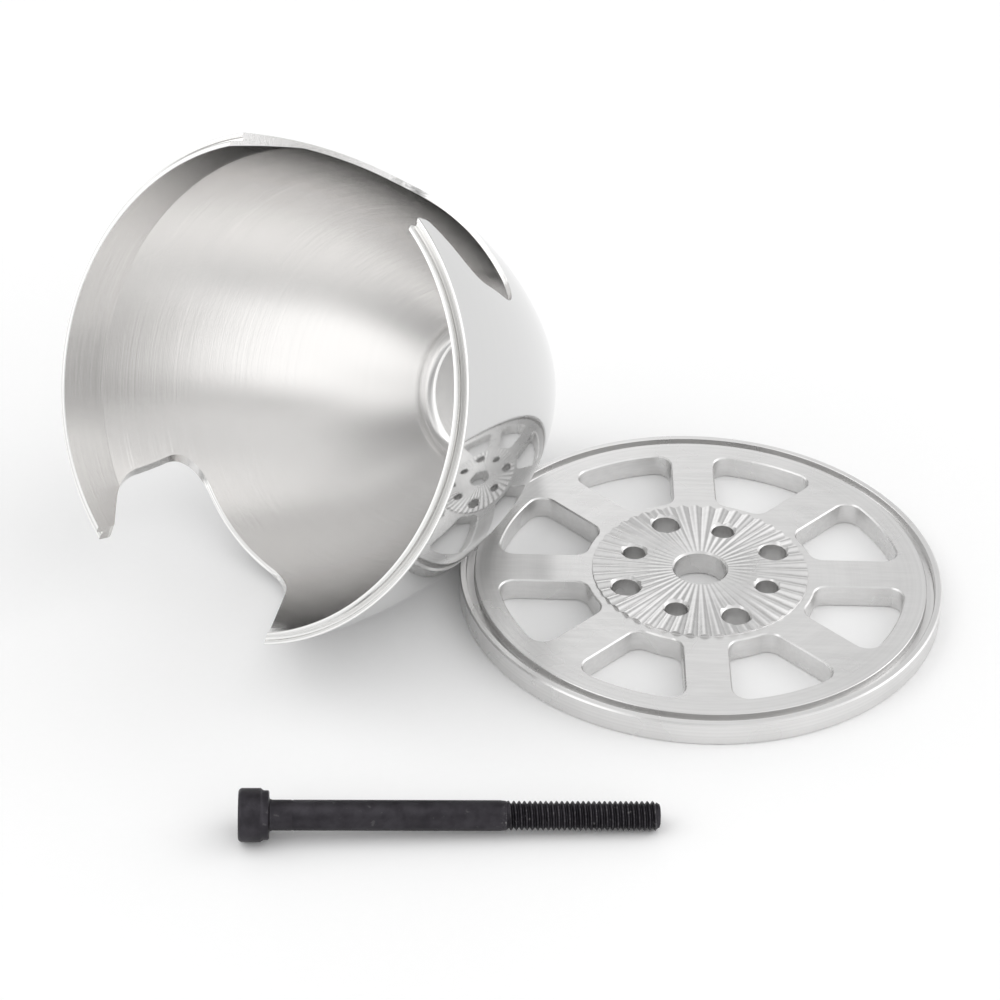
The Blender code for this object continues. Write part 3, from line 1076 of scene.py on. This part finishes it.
# Soft lights round the studio: compass direction and height in degrees, and strength
BROAD_LIGHTS = (
    (-37, 6, 1.69), (8, 31, 1.33), (15, 2, 0.88), (100, 5, 0.82), (20, 54, 0.81), (93, 34, 0.71),
    (48, 8, 0.70), (153, 1, 0.51), (113, 22, 0.30), (105, 58, 0.20),
)
NARROW_LIGHTS = (
    (-144, 57, 0.95), (170, 37, 0.92), (-146, 14, 0.84), (-141, 41, 0.83), (-163, 16, 0.82), (157, 53, 0.81),
    (-171, 46, 0.81), (-177, 24, 0.80), (-178, 62, 0.79), (-159, 33, 0.75), (174, 11, 0.67), (-98, 8, 0.66),
    (136, 70, 0.64), (160, 24, 0.62), (-30, 62, 0.58), (-75, 68, 0.58), (-135, 27, 0.58), (-81, 6, 0.55),
    (-55, 53, 0.53), (-93, 53, 0.50), (146, 40, 0.50), (-66, 27, 0.50), (-122, 70, 0.50), (63, 79, 0.48),
    (-171, 1, 0.44), (-32, 41, 0.42), (-140, -1, 0.42), (-116, 4, 0.41), (-40, 81, 0.40), (-50, 34, 0.40),
    (-84, 22, 0.36), (-117, 35, 0.36), (-66, 9, 0.35), (-74, 43, 0.32), (-174, 79, 0.32), (-94, 34, 0.26),
    (-51, 14, 0.24), (-118, 50, 0.21), (155, 9, 0.18), (-129, 13, 0.14), (-106, 22, 0.13),
)
BROAD = 14.0
NARROW = 45.0
BRIGHTNESS = 1.18

FLOOR_REACH = 6.0
CAMERA_OFFSET = (-0.029268, -0.331518, 0.250582)  # from the backplate's centre
CAMERA_PITCH = 35.364
CAMERA_ROLL = 1.203
SENSOR_WIDTH = 36.0
FOCAL_RATIO = 2.8452  # focal length over sensor width


def studio_world():
    """A studio of broad and narrow soft lights, each fading smoothly into the next."""
    world = bpy.data.worlds.new("studio")
    world.use_nodes = True
    start = Wire(world.node_tree)
    view = start.node("ShaderNodeTexCoord", out="Generated")
    total = 0.0
    lights = [(*light, BROAD) for light in BROAD_LIGHTS] + [(*light, NARROW) for light in NARROW_LIGHTS]
    for heading, height, strength, focus in lights:
        flat = math.cos(math.radians(height))
        towards = (
            flat * math.cos(math.radians(heading)),
            flat * math.sin(math.radians(heading)),
            math.sin(math.radians(height)),
        )
        facing = start.node(
            "ShaderNodeVectorMath", {"operation": "DOT_PRODUCT"}, {0: view, 1: towards}, out="Value"
        )
        total = total + strength * math.e ** ((facing - 1.0) * focus)
    background = world.node_tree.nodes["Background"]
    background.inputs["Strength"].default_value = BRIGHTNESS
    world.node_tree.links.new(total.socket, background.inputs["Color"])
    return world


def build_stage(finishes):
    """Lay the floor, light the studio and set up the camera."""
    scene = bpy.context.scene
    scene.view_settings.view_transform = "Standard"
    floor_mesh = bpy.data.meshes.new("studio_floor")
    corners = [(x * FLOOR_REACH, y * FLOOR_REACH, 0.0) for x, y in ((-1, -1), (1, -1), (1, 1), (-1, 1))]
    floor_mesh.from_pydata(corners, [], [(0, 1, 2, 3)])
    floor = link("studio_floor", floor_mesh)
    floor_mesh.materials.append(pale_floor(tuple(finishes.floor)))

    scene.world = studio_world()

    camera = bpy.data.cameras.new("camera")
    camera.sensor_width = SENSOR_WIDTH
    camera.lens = FOCAL_RATIO * SENSOR_WIDTH
    camera.clip_start = 0.01
    item = bpy.data.objects.new("camera", camera)
    scene.collection.objects.link(item)
    pitch = math.radians(CAMERA_PITCH)
    roll = math.radians(CAMERA_ROLL)
    ahead = Vector((0.0, math.cos(pitch), -math.sin(pitch)))
    right = Vector((1.0, 0.0, 0.0))
    up = right.cross(ahead)
    across = math.cos(roll) * right + math.sin(roll) * up
    rise = -math.sin(roll) * right + math.cos(roll) * up
    place = PLATE_CENTRE + Vector(CAMERA_OFFSET)
    matrix = Matrix((across, rise, -ahead)).transposed().to_4x4()
    item.matrix_world = Matrix.Translation(place) @ matrix
    scene.camera = item


# ---------------------------------------------------------------------------------------------------------
# Add-on
# ---------------------------------------------------------------------------------------------------------


class KIT_OT_backplate(bpy.types.Operator):
    """Build the spoked backplate"""

    bl_idname = "spinner_kit.backplate"
    bl_label = "Backplate"

    def execute(self, context):
        build_backplate(context.scene.kit_backplate, context.scene.kit_finishes)
        return {"FINISHED"}


class KIT_OT_cone(bpy.types.Operator):
    """Build the spinner cone"""

    bl_idname = "spinner_kit.cone"
    bl_label = "Spinner cone"

    def execute(self, context):
        build_cone(context.scene.kit_cone, context.scene.kit_finishes)
        return {"FINISHED"}


class KIT_OT_bolt(bpy.types.Operator):
    """Build the socket-head bolt"""

    bl_idname = "spinner_kit.bolt"
    bl_label = "Retaining bolt"

    def execute(self, context):
        build_bolt(context.scene.kit_bolt, context.scene.kit_finishes)
        return {"FINISHED"}


class KIT_OT_stage(bpy.types.Operator):
    """Set out the floor, the lights and the camera"""

    bl_idname = "spinner_kit.stage"
    bl_label = "Stage"

    def execute(self, context):
        build_stage(context.scene.kit_finishes)
        return {"FINISHED"}


class KIT_PT_panel(bpy.types.Panel):
    bl_idname = "KIT_PT_panel"
    bl_label = "Spinner Kit"
    bl_space_type = "VIEW_3D"
    bl_region_type = "UI"
    bl_category = "Spinner Kit"

    def draw(self, context):
        layout = self.layout
        for operator, group in (
            (KIT_OT_backplate, context.scene.kit_backplate),
            (KIT_OT_cone, context.scene.kit_cone),
            (KIT_OT_bolt, context.scene.kit_bolt),
            (KIT_OT_stage, context.scene.kit_finishes),
        ):
            box = layout.box()
            box.operator(operator.bl_idname)
            for name in group.__annotations__:
                box.prop(group, name)


PROPERTY_GROUPS = {
    "kit_backplate": BackplateSizes,
    "kit_cone": ConeSizes,
    "kit_bolt": BoltSizes,
    "kit_finishes": Finishes,
}
CLASSES = (*PROPERTY_GROUPS.values(), KIT_OT_backplate, KIT_OT_cone, KIT_OT_bolt, KIT_OT_stage, KIT_PT_panel)


def register():
    """Register the classes and hang their settings on the scene."""
    for cls in CLASSES:
        bpy.utils.register_class(cls)
    for name, group in PROPERTY_GROUPS.items():
        setattr(bpy.types.Scene, name, PointerProperty(type=group))


def unregister():
    """Undo register()."""
    for name in PROPERTY_GROUPS:
        delattr(bpy.types.Scene, name)
    for cls in reversed(CLASSES):
        bpy.utils.unregister_class(cls)


def main():
    """Build every piece and the stage."""
    register()
    bpy.ops.spinner_kit.backplate()
    bpy.ops.spinner_kit.cone()
    bpy.ops.spinner_kit.bolt()
    bpy.ops.spinner_kit.stage()


if __name__ == "__main__":
    main()
